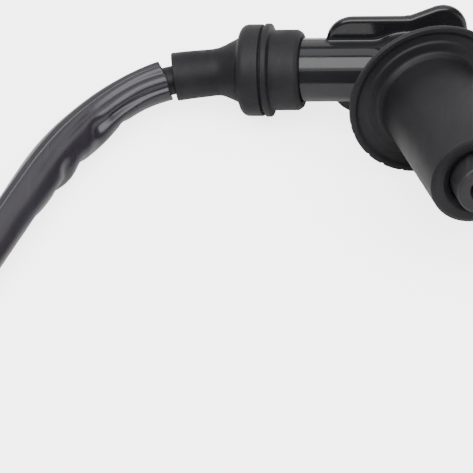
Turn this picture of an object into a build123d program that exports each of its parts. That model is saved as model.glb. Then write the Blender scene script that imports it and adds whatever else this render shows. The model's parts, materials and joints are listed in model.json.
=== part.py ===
from build123d import *
import math
import os

# Ignition coil of a small engine, with its high-tension lead and elbow plug cap. Millimetres, +Z up.
# The origin is the middle of the two mounting holes, on the face that bolts down. The parts lie on
# a flat surface REST_Z below it. The coil's core runs along Y, and the lead leaves towards -X.

REST_Z = -8.0  # the surface that everything lies on
FIT = 0.05  # clearance of pieces that are pressed or screwed together

# Core and mounting
CORE_LENGTH = 72.0
CORE_WIDTH = 11.0
CORE_HEIGHT = 8.0
HOLE_SPACING = 58.0
HOLE_R = 3.2
EYELET_R = 3.9
EYELET_LIP_R = 5.2
EYELET_LIP = 0.6
CORE_MID_Z = EYELET_LIP + CORE_HEIGHT / 2

# Case and windings
CASE_X = 34.0
CASE_Y = 42.0
CASE_TOP = 18.0
RIM = 0.8
WALL = 2.0
RESIN_RECESS = 0.8
PRIMARY_HALF_LENGTH = 16.0
SECONDARY_HALF_LENGTH = 15.0
BOBBIN_WALL = 1.0
PRIMARY_DEPTH = 1.7
SECONDARY_DEPTH = 2.7
FLANGE_STEP = 0.5
SECTIONS = 6
RIB = 1.0

# Tower, terminals and the pin that feeds the lead
TOWER_R = 7.8
TOWER_STEP = -26.8
SPIGOT_R = 6.4
TOWER_END = -33.0
TOWER_Z = 0.0
PIN_R = 1.2
BENCH_X = 19.6
BLADE_THICKNESS = 0.8
BLADE_OUT = 29.0
BLADE_Z = 10.0
BLADE_Y = 8.0
SIGNAL_BLADE = 6.3
GROUND_BLADE = 4.8

# Lead
LEAD_R = 3.5
LEAD_CORE_R = 1.2
LEAD_BORE_R = LEAD_CORE_R + FIT
SHEATH_R = 5.0
LEAD_START_X = -22.0
RELIEF_START_X = -26.9
RELIEF_END_X = -49.0
RELIEF_R = 7.9

# Plug cap. Distances are from the corner of the elbow: P along the plug, W along the lead.
CORNER = Vector(8.0, 168.0, 8.25)
PLUG_AXIS = Vector(0.287, -0.924, 0.253)
FIN_AXIS = Vector(-0.098, 0.2344, 0.9672)
ELBOW_TURN = 65.5
ELBOW_R = 7.7
ELBOW_END = -42.0
SOCKET_R = 10.0
SOCKET_BACK = -4.0
SOCKET_MOUTH = 12.4
GRIP_THICKNESS = 2.5
GRIP_OFFSET = -2.05
GRIP_HALF_HEIGHT = 13.7
GRIP_LENGTH = 20.2
GRIP_CORNER = 7.0
LOBE_HALF_HEIGHT = 14.5
LOBE_LENGTH = 14.4
LOBE_CORNER = 7.0
CABLE_END = -30.0
SCREW_TIP = -38.0

# Seal between lead and elbow
SEAL_END = -58.0
SLEEVE_R = 5.65
COLLAR_R = 11.1
LIP_R = 11.3
SMALL_COLLAR_R = 9.75

# Snout, resistor and terminal inside the boot
SNOUT_R = 6.6
SNOUT_BORE_R = 4.6
SNOUT_START = 3.0
SNOUT_END = 56.0
MOUTH_R = 3.45
RESISTOR_R = 4.0
RESISTOR_START = 10.0
RESISTOR_END = 36.0
END_CAP_LENGTH = 4.0
TERMINAL_R = 3.2
TERMINAL_START = 42.0
TERMINAL_END = 52.7
CLIP_AT = 48.5
SPRING_R = 2.6
SPRING_WIRE_R = 0.3
SPRING_LENGTH = 5.2

# Boot
BOOT_FLANGE_R = 20.0
BOOT_FLANGE_AT = 14.2
BOOT_ROOT_R = 12.4
BOOT_TIP_R = 11.75
BOOT_TIP = 51.4
BOOT_NECK_R = 12.2
BOOT_START = 4.8

BOTTOM = (Align.CENTER, Align.CENTER, Align.MIN)


def block(x, y, z, middle):
    """A box of the given size about a middle point."""
    return Pos(*middle) * Box(x, y, z)


def rod(radius, start, end):
    """A round rod along X, between two distances."""
    return Pos(start, 0, 0) * Rot(0, 90, 0) * Cylinder(radius, end - start, align=BOTTOM)


def pipe(outer, inner, start, end):
    return rod(outer, start, end) - rod(inner, start, end)


def lathed(*outline):
    """An outline of (distance, radius) points turned about X."""
    return revolve(make_face(Polyline(*outline, close=True)), Axis.X)


def hollow_brick(outer_x, outer_z, inner_x, inner_z, start, end):
    """A rectangular sleeve about the core, between two distances along Y."""
    middle = (0, (start + end) / 2, CORE_MID_Z)
    return block(outer_x, end - start, outer_z, middle) - block(inner_x, end - start, inner_z, middle)


# ---- places


cap_frame = Plane(origin=CORNER, x_dir=PLUG_AXIS, z_dir=FIN_AXIS)
TO_CAP = cap_frame.location
TO_CABLE_SIDE = TO_CAP * Rot(0, 0, ELBOW_TURN)
LEAD_AXIS = (TO_CABLE_SIDE * Pos(1, 0, 0)).position - CORNER


def on_lead_axis(distance):
    """A point on the line that the lead takes into the elbow."""
    return CORNER + LEAD_AXIS * distance


LEAD_ON_FLOOR = REST_Z + SHEATH_R + 0.05
LEAD_ROUTE = [
    Vector(LEAD_START_X, 0, TOWER_Z),
    Vector(-62, 0, TOWER_Z),
    Vector(-98, 20, LEAD_ON_FLOOR),
    Vector(-110, 58, LEAD_ON_FLOOR),
    Vector(-103, 98, LEAD_ON_FLOOR),
    Vector(-86.5, 134.7, LEAD_ON_FLOOR),
    Vector(-70.6, 162.0, LEAD_ON_FLOOR + 0.55),
    on_lead_axis(-57),
    on_lead_axis(CABLE_END),
]


def corner_radii(points):
    """The largest arcs that the runs leave room for."""
    radii = []
    for before, at, after in zip(points, points[1:], points[2:]):
        turn = (at - before).get_angle(after - at)
        shorter = min((at - before).length, (after - at).length)
        radii.append(0.45 * shorter / math.tan(math.radians(turn / 2)))
        print(f"corner at {at.X:.0f}, {at.Y:.0f}: turn {turn:.0f} deg, radius {radii[-1]:.0f} mm")
    return radii


lead_path = FilletPolyline(*LEAD_ROUTE, radius=corner_radii(LEAD_ROUTE))


def along_lead(radius):
    """A round bar that follows the lead from end to end."""
    section = Plane(origin=lead_path @ 0, z_dir=lead_path % 0) * Circle(radius)
    return sweep(section, path=lead_path)


# ---- coil


def core_laminations():
    """The riveted stack of punched steel plates, with rounded ends and a hole in each ear."""
    outline = SlotOverall(CORE_LENGTH, CORE_WIDTH, rotation=90)
    for side in (-1, 1):
        outline -= Pos(0, side * HOLE_SPACING / 2) * Circle(EYELET_R + FIT)
    return Pos(0, 0, EYELET_LIP) * extrude(outline, amount=CORE_HEIGHT)


def core_eyelets():
    """Tubular rivets that clamp the plates and line the two mounting holes."""
    height = CORE_HEIGHT + 2 * EYELET_LIP
    eyelet = Cylinder(EYELET_R, height, align=BOTTOM) + Cylinder(EYELET_LIP_R, EYELET_LIP, align=BOTTOM)
    eyelet += Pos(0, 0, height - EYELET_LIP) * Cylinder(EYELET_LIP_R, EYELET_LIP, align=BOTTOM)
    eyelet -= Cylinder(HOLE_R, height, align=BOTTOM)
    return Compound(children=[Pos(0, side * HOLE_SPACING / 2, 0) * eyelet for side in (-1, 1)])


def blade(width, side):
    """A male spade terminal with a pointed, pierced tip and a narrower tail in the resin."""
    tail = block(6, width - 2, BLADE_THICKNESS, (16.6, 0, 0))
    root = BENCH_X + FIT
    outer = block(BLADE_OUT - root, width, BLADE_THICKNESS, ((BLADE_OUT + root) / 2, 0, 0))
    tip = outer.edges().filter_by(Axis.Z).group_by(Axis.X)[-1]
    outer = chamfer(tip, 1.2)
    pierced = outer + tail - Pos(BLADE_OUT - 3.5, 0, 0) * Cylinder(0.9, 2)
    return Pos(0, side * BLADE_Y, BLADE_Z) * pierced


def blade_slot(width, side):
    return block(6.2, width - 2 + 2 * FIT, BLADE_THICKNESS + 2 * FIT, (16.6, side * BLADE_Y, BLADE_Z))


def tower_webs():
    """Three webs that brace the root of the tower."""
    web = extrude(make_face(Polyline((-16, 0), (-25, 0), (-16, 13), close=True)), amount=1, both=True)
    upright = Rot(90, 0, 0) * web
    return upright + web + Rot(180, 0, 0) * web


def coil_case():
    """An open-bottomed cup with ears of the core through its ends, a lead tower and a terminal bench."""
    height = CASE_TOP - REST_Z
    shell = block(CASE_X, CASE_Y, height, (0, 0, REST_Z + height / 2))
    shell = fillet(shell.edges().filter_by(Axis.Z), 5)
    shell = fillet(shell.edges().group_by(Axis.Z)[-1], 2.5)
    rim = block(CASE_X + 2 * RIM, CASE_Y + 2 * RIM, 3, (0, 0, REST_Z + 1.5))
    shell += fillet(rim.edges().filter_by(Axis.Z), 5 + RIM)
    shell -= block(22, 29, 1, (0, 0, CASE_TOP))
    shell += block(4, 25, 7, (BENCH_X - 2, 0, BLADE_Z))
    shell += Pos(0, 0, TOWER_Z) * (rod(TOWER_R, TOWER_STEP, -10) + rod(SPIGOT_R, TOWER_END, -10))
    shell += Pos(0, 0, TOWER_Z) * tower_webs()
    inner = height - WALL
    cavity = block(CASE_X - 2 * WALL, CASE_Y - 2 * WALL, inner, (0, 0, REST_Z + inner / 2))
    cavity = fillet(cavity.edges().filter_by(Axis.Z), 3)
    slot = block(CORE_WIDTH + 0.1, CASE_Y + 2, CORE_HEIGHT + 0.1, (0, 0, CORE_MID_Z))
    lead_hole = Pos(0, 0, TOWER_Z) * rod(LEAD_R + FIT, TOWER_END - 1, LEAD_START_X + FIT)
    pin_hole = Pos(0, 0, TOWER_Z) * rod(PIN_R + FIT, -25, -10)
    shell = shell - cavity - slot - lead_hole - pin_hole
    return shell - blade_slot(SIGNAL_BLADE, 1) - blade_slot(GROUND_BLADE, -1)


PRIMARY_IN = (CORE_WIDTH + 0.3, CORE_HEIGHT + 0.3)
PRIMARY_HUB = tuple(side + 2 * BOBBIN_WALL for side in PRIMARY_IN)
PRIMARY_OUT = tuple(side + 2 * PRIMARY_DEPTH for side in PRIMARY_HUB)
SECONDARY_IN = tuple(side + 0.3 for side in PRIMARY_OUT)
SECONDARY_HUB = tuple(side + 2 * BOBBIN_WALL for side in SECONDARY_IN)
SECONDARY_OUT = tuple(side + 2 * SECONDARY_DEPTH for side in SECONDARY_HUB)
SECONDARY_FLANGE = tuple(side + 2 * FLANGE_STEP for side in SECONDARY_OUT)
SECTION_PITCH = (2 * SECONDARY_HALF_LENGTH - RIB) / SECTIONS


def primary_bobbin():
    half = PRIMARY_HALF_LENGTH
    bobbin = hollow_brick(*PRIMARY_HUB, *PRIMARY_IN, -half, half)
    for side in (-1, 1):
        ends = sorted((side * (half - RIB), side * half))
        bobbin += hollow_brick(*PRIMARY_OUT, *PRIMARY_IN, *ends)
    return bobbin


def primary_winding():
    """The few hundred turns of thick wire, as one sleeve."""
    half = PRIMARY_HALF_LENGTH - RIB - FIT
    hub = tuple(side + 2 * FIT for side in PRIMARY_HUB)
    return hollow_brick(*PRIMARY_OUT, *hub, -half, half)


def secondary_bobbin():
    """A former with ribs that keep the high-voltage sections apart."""
    half = SECONDARY_HALF_LENGTH
    bobbin = hollow_brick(*SECONDARY_HUB, *SECONDARY_IN, -half, half)
    for i in range(SECTIONS + 1):
        start = -half + i * SECTION_PITCH
        bobbin += hollow_brick(*SECONDARY_FLANGE, *SECONDARY_IN, start, start + RIB)
    return bobbin


def secondary_windings():
    """One sleeve of fine wire in each slot of the former."""
    hub = tuple(side + 2 * FIT for side in SECONDARY_HUB)
    sleeves = []
    for i in range(SECTIONS):
        start = -SECONDARY_HALF_LENGTH + i * SECTION_PITCH + RIB + FIT
        sleeves.append(hollow_brick(*SECONDARY_OUT, *hub, start, start + SECTION_PITCH - RIB - 2 * FIT))
    return Compound(children=sleeves)


def bent_wire(radius, *points):
    route = FilletPolyline(*points, radius=0.9)
    return sweep(Plane(origin=route @ 0, z_dir=route % 0) * Circle(radius), path=route)


def primary_wires(radius=0.3):
    """The two ends of the primary winding, up to the tails of the terminals."""
    across = PRIMARY_OUT[0] / 2 - 1
    wires = []
    for side in (-1, 1):
        start = (14.3, side * BLADE_Y, BLADE_Z - BLADE_THICKNESS / 2 - 0.35)
        corner = (14.3, side * 17.4, BLADE_Z - BLADE_THICKNESS / 2 - 0.35)
        wires.append(bent_wire(radius, start, corner, (across, side * 17.4, CORE_MID_Z)))
    return Compound(children=wires)


def ht_output_pin():
    """The brass pin that the lead is pushed on to."""
    return Pos(0, 0, TOWER_Z) * lathed((-30, 0), (-28, PIN_R), (-14, PIN_R), (-14, 0))


def secondary_wire(radius=0.2):
    """The end of the last high-voltage section, up to the output pin."""
    return bent_wire(radius, (-14.3, 0.5, TOWER_Z + 1.6), (-14.3, 11, TOWER_Z + 1.6), (-13.75, 13.5, TOWER_Z + 4))


def potting_resin():
    """Epoxy that fills the case round the windings and locks the core."""
    top = CASE_TOP - WALL
    bottom = REST_Z + RESIN_RECESS
    fill = block(CASE_X - 2 * WALL, CASE_Y - 2 * WALL, top - bottom, (0, 0, (top + bottom) / 2))
    fill = fillet(fill.edges().filter_by(Axis.Z), 3)
    fill -= block(CORE_WIDTH + 0.1, CASE_Y, CORE_HEIGHT + 0.1, (0, 0, CORE_MID_Z))
    coil_block = [side + 0.02 for side in SECONDARY_FLANGE]
    fill -= block(coil_block[0], 2 * SECONDARY_HALF_LENGTH, coil_block[1], (0, 0, CORE_MID_Z))
    fill -= block(PRIMARY_OUT[0], 2 * PRIMARY_HALF_LENGTH, PRIMARY_OUT[1], (0, 0, CORE_MID_Z))
    fill -= Pos(0, 0, TOWER_Z) * rod(PIN_R + 0.02, -16, -13.9)
    fill -= blade_slot(SIGNAL_BLADE, 1) + blade_slot(GROUND_BLADE, -1)
    for solid in primary_wires(0.32).solids():
        fill -= solid
    return fill - secondary_wire(0.22)


def tower_relief():
    """A ribbed rubber strain relief that is pushed over the tower's spigot."""
    outline = [(RELIEF_START_X, RELIEF_R), (RELIEF_START_X, SPIGOT_R + FIT), (TOWER_END, SPIGOT_R + FIT)]
    outline += [(TOWER_END, 1), (RELIEF_END_X, 1), (RELIEF_END_X, 5.6), (-36, 7.2), (-35, RELIEF_R)]
    relief = Pos(0, 0, TOWER_Z) * lathed(*outline)
    for i in range(3):
        at = -38.5 - 3.5 * i
        bead_r = 7.6 - 0.45 * i
        relief += Pos(0, 0, TOWER_Z) * lathed((at - 0.9, 1), (at - 0.7, bead_r), (at + 0.7, bead_r), (at + 0.9, 1))
    return relief - lead_space()


# ---- lead


_lead_space = []


def lead_space():
    """The lead's own space plus a fit, made once and cut from what the lead passes through."""
    if not _lead_space:
        _lead_space.append(along_lead(LEAD_R + FIT))
    return _lead_space[0]


def cap_side(start):
    """Everything nearer the cap than a distance on the lead's axis."""
    return TO_CABLE_SIDE * block(60, 40, 40, (start + 30, 0, 0))


def coil_side(x):
    """Everything nearer the coil than a place along the tower."""
    return block(60, 40, 40, (x + 30, 0, TOWER_Z))


def ht_lead_jacket():
    return along_lead(LEAD_R) - along_lead(LEAD_BORE_R)


def ht_lead_core():
    """The conductor, from the tip of the coil's pin to the tip of the cap's screw."""
    return along_lead(LEAD_CORE_R) - cap_side(SCREW_TIP - 0.5) - coil_side(-30.5)


def lead_sheath():
    """The loose sleeve over the lead, from the strain relief almost to the seal."""
    return along_lead(SHEATH_R) - lead_space() - cap_side(SEAL_END - 0.8) - coil_side(RELIEF_END_X - 0.1)


def lead_seal():
    """A rubber sleeve that grips the lead and a stepped collar that grips the elbow."""
    outline = [(-48, 2), (-48, SLEEVE_R - 0.7), (-45.2, 6.4), (-43.2, 7.9), (-42.7, 9.4), (-41.2, COLLAR_R)]
    outline += [(-36.0, COLLAR_R), (-35.5, 10.5), (-35.3, LIP_R), (-34.1, LIP_R), (-33.7, SMALL_COLLAR_R)]
    outline += [(-27.2, SMALL_COLLAR_R), (-26.2, 8.8), (-26.8, ELBOW_R + FIT)]
    outline += [(ELBOW_END - 0.3, ELBOW_R + FIT), (ELBOW_END - 0.3, 2)]
    collar = TO_CABLE_SIDE * lathed(*outline)
    slab = TO_CABLE_SIDE * block(11.5, 30, 30, (SEAL_END + 5.75, 0, 0))
    return collar + (along_lead(SLEEVE_R) & slab) - lead_space()


# ---- plug cap


def grip_plate(length, half_height, corner):
    """Half of the finger grip: a flat plate from the bend outwards, rounded at its free end."""
    plate = Rectangle(length, 2 * half_height, align=(Align.MIN, Align.CENTER))
    plate = fillet(plate.vertices().group_by(Axis.X)[-1], corner)
    return extrude(plate, amount=GRIP_THICKNESS / 2, both=True)


def cap_body():
    """The elbow moulding: cable arm, plug socket and a bent finger grip above and below."""
    turn = math.radians(ELBOW_TURN)
    arm = Rot(0, 0, ELBOW_TURN) * rod(ELBOW_R, ELBOW_END, 0)
    socket = lathed((SOCKET_BACK, 0), (SOCKET_BACK, SOCKET_R - 3), (SOCKET_BACK + 3, SOCKET_R),
                    (SOCKET_MOUTH, SOCKET_R), (SOCKET_MOUTH, 0))
    bend = (GRIP_OFFSET * math.sin(turn), -GRIP_OFFSET * math.cos(turn), 0)
    towards_lead = Vector(-math.cos(turn), -math.sin(turn), 0)
    arm_side = Plane(origin=bend, x_dir=towards_lead, z_dir=towards_lead.cross(Vector(0, 0, 1)))
    lobe_side = Plane(origin=bend, x_dir=(0, 1, 0), z_dir=(1, 0, 0))
    grip = arm_side.location * grip_plate(GRIP_LENGTH, GRIP_HALF_HEIGHT, GRIP_CORNER)
    lobe = lobe_side.location * grip_plate(LOBE_LENGTH, LOBE_HALF_HEIGHT, LOBE_CORNER)
    hinge = Pos(*bend) * Cylinder(GRIP_THICKNESS / 2, 2 * GRIP_HALF_HEIGHT)
    body = arm + socket + grip + lobe + hinge
    body -= Rot(0, 0, ELBOW_TURN) * rod(LEAD_R + 0.1, ELBOW_END - 1, CABLE_END + 1.4)
    body -= Rot(0, 0, ELBOW_TURN) * rod(2.5 + FIT, CABLE_END, 0)
    body -= Sphere(2.5 + FIT) + rod(2.5 + FIT, 0, SNOUT_START)
    return TO_CAP * (body - rod(SNOUT_R + FIT, SNOUT_START - FIT, SOCKET_MOUTH + 1))


def cable_screw():
    """The pointed screw that bites into the end of the lead."""
    thread = rod(0.85, SCREW_TIP + 1.5, -24) + lathed((SCREW_TIP, 0), (SCREW_TIP + 1.5, 0.85), (SCREW_TIP + 1.5, 0))
    for i in range(8):
        at = SCREW_TIP + 1.8 + 0.8 * i
        thread += lathed((at, 0), (at, 0.85), (at + 0.25, 1.15), (at + 0.5, 0.85), (at + 0.5, 0))
    return TO_CABLE_SIDE * (thread + rod(3.0, CABLE_END + 0.1, CABLE_END + 1.1))


def corner_contact():
    """The brass insert that carries the current round the corner to the resistor."""
    arm = Rot(0, 0, ELBOW_TURN) * (rod(2.5, CABLE_END + 1.2, 0) - rod(0.9, -40, -23.9))
    button = rod(2.5, 0, SNOUT_START + FIT) + rod(4.4, SNOUT_START + FIT, 4.2)
    return TO_CAP * (arm + Sphere(2.5) + button)


def contact_springs():
    """Two equal springs that hold the resistor between its contacts."""
    springs = []
    for start in (4.5, RESISTOR_END + 0.4):
        coil = Helix(pitch=1.15, height=SPRING_LENGTH - 2 * SPRING_WIRE_R, radius=SPRING_R)
        bar = sweep(Plane(origin=coil @ 0, z_dir=coil % 0) * Circle(SPRING_WIRE_R), path=coil)
        springs.append(TO_CAP * Pos(start + SPRING_WIRE_R, 0, 0) * Rot(0, 90, 0) * bar)
    return Compound(children=springs)


def resistor_body():
    return TO_CAP * rod(RESISTOR_R, RESISTOR_START + 0.55, RESISTOR_END - 0.55)


def resistor_caps():
    """A pressed cup on each end of the resistor rod."""
    cup = pipe(RESISTOR_R + 0.4, RESISTOR_R + 0.02, 0, END_CAP_LENGTH) + rod(RESISTOR_R + 0.4, 0, 0.5)
    far = Pos(RESISTOR_END, 0, 0) * Rot(0, 0, 180) * cup
    return Compound(children=[TO_CAP * Pos(RESISTOR_START, 0, 0) * cup, TO_CAP * far])


def snout_tube():
    """The insulating tube that holds the resistor and terminal and stands proud of the boot."""
    tube = rod(SNOUT_R, SNOUT_START, SNOUT_END) - rod(SNOUT_BORE_R, SNOUT_START - 1, TERMINAL_END + 0.1)
    tube -= rod(MOUTH_R, SNOUT_START, SNOUT_END + 1)
    rim = tube.edges().filter_by(GeomType.CIRCLE).group_by(Axis.X)[-1]
    return TO_CAP * fillet(rim, 0.5)


def terminal_socket():
    """The brass cup that takes the plug's terminal, with a groove for its clip."""
    cup = rod(SNOUT_BORE_R - FIT, TERMINAL_START, TERMINAL_END) - rod(TERMINAL_R, TERMINAL_START + 1.4, TERMINAL_END + 1)
    return TO_CAP * (cup - rod(4.05, CLIP_AT - 0.5, CLIP_AT + 0.5))


def terminal_clip():
    """A springy open ring that snaps over the plug's terminal."""
    ring = Rot(0, 90, 0) * Torus(3.62, 0.35)
    return TO_CAP * Pos(CLIP_AT, 0, 0) * (ring - block(4, 3, 3, (0, 0, 3.4)))


def plug_boot():
    """The rubber boot: neck over the socket, dished sealing flange, tapered body and rounded mouth."""
    at = BOOT_FLANGE_AT
    neck = [(BOOT_START, SOCKET_R + FIT), (BOOT_START, BOOT_NECK_R), (at - 3.6, BOOT_NECK_R), (at - 1.9, 14.2)]
    rim = [(at - 1.2, 18.8), (at - 0.8, 19.7), (at - 0.2, BOOT_FLANGE_R), (at + 0.4, 19.7), (at + 0.6, 19.1)]
    dish = [(at + 0.1, 18.3), (at - 0.2, 17.2), (at - 0.1, 16.2), (at + 0.5, 15.6), (at + 0.7, 14.2)]
    body = [(at + 1.3, 13.1), (at + 2.8, BOOT_ROOT_R), (BOOT_TIP - 0.5, BOOT_TIP_R), (BOOT_TIP - 0.1, 11.4)]
    mouth = [(BOOT_TIP, 10.6), (BOOT_TIP - 1.5, 7.6), (BOOT_TIP - 1.7, SNOUT_R + FIT)]
    bore = [(SOCKET_MOUTH + 0.1, SNOUT_R + FIT), (SOCKET_MOUTH + 0.1, SOCKET_R + FIT)]
    return TO_CAP * lathed(*neck, *rim, *dish, *body, *mouth, *bore)


PARTS = {
    "core_laminations": core_laminations,
    "core_eyelets": core_eyelets,
    "coil_case": coil_case,
    "potting_resin": potting_resin,
    "primary_bobbin": primary_bobbin,
    "primary_winding": primary_winding,
    "secondary_bobbin": secondary_bobbin,
    "secondary_windings": secondary_windings,
    "signal_terminal": lambda: blade(SIGNAL_BLADE, 1),
    "ground_terminal": lambda: blade(GROUND_BLADE, -1),
    "primary_wires": primary_wires,
    "secondary_wire": secondary_wire,
    "ht_output_pin": ht_output_pin,
    "tower_relief": tower_relief,
    "ht_lead_jacket": ht_lead_jacket,
    "ht_lead_core": ht_lead_core,
    "lead_sheath": lead_sheath,
    "lead_seal": lead_seal,
    "cap_body": cap_body,
    "cable_screw": cable_screw,
    "corner_contact": corner_contact,
    "contact_springs": contact_springs,
    "resistor_body": resistor_body,
    "resistor_caps": resistor_caps,
    "snout_tube": snout_tube,
    "terminal_socket": terminal_socket,
    "terminal_clip": terminal_clip,
    "plug_boot": plug_boot,
}

os.makedirs("parts", exist_ok=True)
for name, make in PARTS.items():
    export_step(make(), f"parts/{name}.step")

print(f"lead {lead_path.length:.1f} mm along its middle")
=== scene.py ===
# %% [markdown]
# # An ignition coil with its lead and plug cap
# This lesson dresses a finished CAD assembly. The CAD model fixes every size and every joint, so each
# piece made here is worked out from it.

# %% Load the assembly
import json
import math

import bmesh
import bpy
import numpy as np
from mathutils import Matrix, Vector, noise


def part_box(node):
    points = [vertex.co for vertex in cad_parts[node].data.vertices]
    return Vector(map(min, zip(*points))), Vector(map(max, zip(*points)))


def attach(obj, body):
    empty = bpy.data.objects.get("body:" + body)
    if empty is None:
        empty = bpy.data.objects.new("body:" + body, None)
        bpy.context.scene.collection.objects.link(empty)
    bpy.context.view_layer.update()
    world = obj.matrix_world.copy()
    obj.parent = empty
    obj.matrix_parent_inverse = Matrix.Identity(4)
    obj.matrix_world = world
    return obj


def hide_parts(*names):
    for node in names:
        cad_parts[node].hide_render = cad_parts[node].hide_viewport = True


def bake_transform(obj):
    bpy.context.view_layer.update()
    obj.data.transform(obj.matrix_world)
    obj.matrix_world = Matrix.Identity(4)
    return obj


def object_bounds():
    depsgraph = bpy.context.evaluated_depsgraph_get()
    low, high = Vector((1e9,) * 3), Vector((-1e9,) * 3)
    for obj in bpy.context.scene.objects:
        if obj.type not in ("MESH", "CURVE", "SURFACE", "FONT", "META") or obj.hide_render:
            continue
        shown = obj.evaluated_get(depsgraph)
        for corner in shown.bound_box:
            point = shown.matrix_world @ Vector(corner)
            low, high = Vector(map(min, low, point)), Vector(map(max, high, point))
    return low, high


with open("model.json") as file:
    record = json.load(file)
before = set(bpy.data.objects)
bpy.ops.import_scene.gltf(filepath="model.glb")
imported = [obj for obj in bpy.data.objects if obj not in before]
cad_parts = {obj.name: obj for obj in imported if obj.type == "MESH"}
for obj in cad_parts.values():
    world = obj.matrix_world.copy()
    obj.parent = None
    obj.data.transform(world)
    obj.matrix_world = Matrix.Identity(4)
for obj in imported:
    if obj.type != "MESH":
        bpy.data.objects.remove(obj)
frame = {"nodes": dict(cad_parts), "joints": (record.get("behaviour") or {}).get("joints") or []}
CAD_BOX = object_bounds()
MM = 0.001
joints = {joint["name"]: joint for joint in frame["joints"]}
print("CAD box", [tuple(round(v / MM, 1) for v in corner) for corner in CAD_BOX])

# %% [markdown]
# Two axes meet at the corner of the elbow: the lead comes in along one and the spark plug along the
# other. Both are joint axes of the assembly, so they are read from it. Pieces of the cap are built in
# millimetres about that corner, lying along X, and a matrix then puts their vertices in place.

# %% Axes of the cap
corner = Vector(joints["cap_turn"]["pos_m"])
lead_axis = Vector(joints["cap_turn"]["axis"]).normalized()
plug_axis = Vector(joints["boot_pull"]["axis"]).normalized()
fin_axis = plug_axis.cross(lead_axis).normalized()
elbow_turn = plug_axis.angle(lead_axis)


def millimetres_at(origin, x_axis, z_axis):
    """A matrix from local millimetres, with X along x_axis, to metres in the assembly."""
    y_axis = z_axis.cross(x_axis)
    turn = Matrix((x_axis, y_axis, z_axis)).transposed().to_4x4()
    return Matrix.Translation(origin) @ turn @ Matrix.Scale(MM, 4)


ALONG_PLUG = millimetres_at(corner, plug_axis, fin_axis)
ALONG_LEAD = millimetres_at(corner, lead_axis, fin_axis)
ALONG_TOWER = millimetres_at(Vector((0, 0, 0)), Vector((1, 0, 0)), Vector((0, 0, 1)))
print("elbow turns", round(math.degrees(elbow_turn), 1), "degrees")

# %% [markdown]
# The camera stands high in front of the cap and looks at a point up the lead from its flange, through a
# long lens that keeps the round parts round.

# %% Camera
FLANGE_AT = 14.2
LOOK_ELEVATION = math.radians(48.5)
LENS = 525
VIEW_DISTANCE = 1.647
LOOK_LEFT = 0.0461
LOOK_DOWN = 0.0328
toward_viewer = Vector((0, -math.cos(LOOK_ELEVATION), math.sin(LOOK_ELEVATION)))
screen_up = Vector((0, math.sin(LOOK_ELEVATION), math.cos(LOOK_ELEVATION)))
look_at = corner + plug_axis * FLANGE_AT * MM - Vector((1, 0, 0)) * LOOK_LEFT - screen_up * LOOK_DOWN
camera_data = bpy.data.cameras.new("camera")
camera_data.lens = LENS
camera_data.clip_start = 0.1
camera = bpy.data.objects.new("camera", camera_data)
bpy.context.scene.collection.objects.link(camera)
camera.location = look_at + toward_viewer * VIEW_DISTANCE
camera.rotation_euler = toward_viewer.to_track_quat("Z", "Y").to_euler()
bpy.context.scene.camera = camera
print("camera", [round(v, 3) for v in camera.location])

# %% [markdown]
# The high-tension lead is one smooth line from the pin in the tower to the screw in the cap. A NURBS
# curve through these control points bends as a stiff 7 mm lead does, and its round bevel is the rubber
# jacket. Everything that sits on the lead later follows points read from this line.

# %% The lead's line
LEAD_R = 3.5
LEAD_ROUTE = [
    (-0.022, 0, 0),
    (-0.062, 0, 0),
    (-0.098, 0.020, -0.00295),
    (-0.110, 0.058, -0.00295),
    (-0.103, 0.098, -0.00295),
    (-0.0865, 0.1347, -0.00295),
    (-0.0706, 0.1620, -0.0024),
    corner - lead_axis * 0.057,
    corner - lead_axis * 0.030,
]


def lead_curve(name, bevel):
    data = bpy.data.curves.new(name, "CURVE")
    data.dimensions = "3D"
    data.resolution_u = 24
    data.bevel_depth = bevel
    data.bevel_resolution = 6
    data.use_fill_caps = True
    spline = data.splines.new("NURBS")
    spline.points.add(len(LEAD_ROUTE) - 1)
    for point, place in zip(spline.points, LEAD_ROUTE):
        point.co = (*place, 1)
    spline.order_u = 3
    spline.use_endpoint_u = True
    curve = bpy.data.objects.new(name, data)
    bpy.context.scene.collection.objects.link(curve)
    return curve


def mesh_of(curve):
    """The mesh that a curve makes, in place of the curve."""
    bpy.context.view_layer.update()
    mesh = bpy.data.meshes.new_from_object(curve.evaluated_get(bpy.context.evaluated_depsgraph_get()))
    bpy.data.objects.remove(curve)
    return mesh


lead_mesh = mesh_of(lead_curve("jacket_line", LEAD_R * MM))
lead_mesh.polygons.foreach_set("use_smooth", [True] * len(lead_mesh.polygons))
lead = bpy.data.objects.new("high_tension_lead", lead_mesh)
bpy.context.scene.collection.objects.link(lead)
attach(lead, "coil")
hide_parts("ht_lead_jacket")

# %% [markdown]
# Other pieces sit on the lead or are bent along it. They could be parented to the curve, but a piece's
# place has to be in its mesh, so the line is kept as points, with a helper that gives the centre and the
# directions across the lead at any distance.

# %% Points to follow
line = np.array([v.co for v in mesh_of(lead_curve("guide", 0)).vertices]) / MM
line_steps = np.linalg.norm(np.diff(line, axis=0), axis=1)
line_at = np.concatenate([[0], np.cumsum(line_steps)])
LEAD_LENGTH = line_at[-1]
print("lead", round(LEAD_LENGTH, 1), "mm")


def on_lead(distances):
    """Centres, tangents, upward and sideways directions at distances along the lead, in mm."""
    distances = np.asarray(distances, float)
    centres = np.stack([np.interp(distances, line_at, line[:, i]) for i in range(3)], -1)
    ahead = np.stack([np.interp(distances + 0.5, line_at, line[:, i]) for i in range(3)], -1)
    behind = np.stack([np.interp(distances - 0.5, line_at, line[:, i]) for i in range(3)], -1)
    tangents = ahead - behind
    tangents /= np.linalg.norm(tangents, axis=1)[:, None]
    sideways = np.cross(tangents, (0, 0, 1))
    sideways /= np.linalg.norm(sideways, axis=1)[:, None]
    upward = np.cross(sideways, tangents)
    return centres, tangents, upward, sideways


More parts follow.
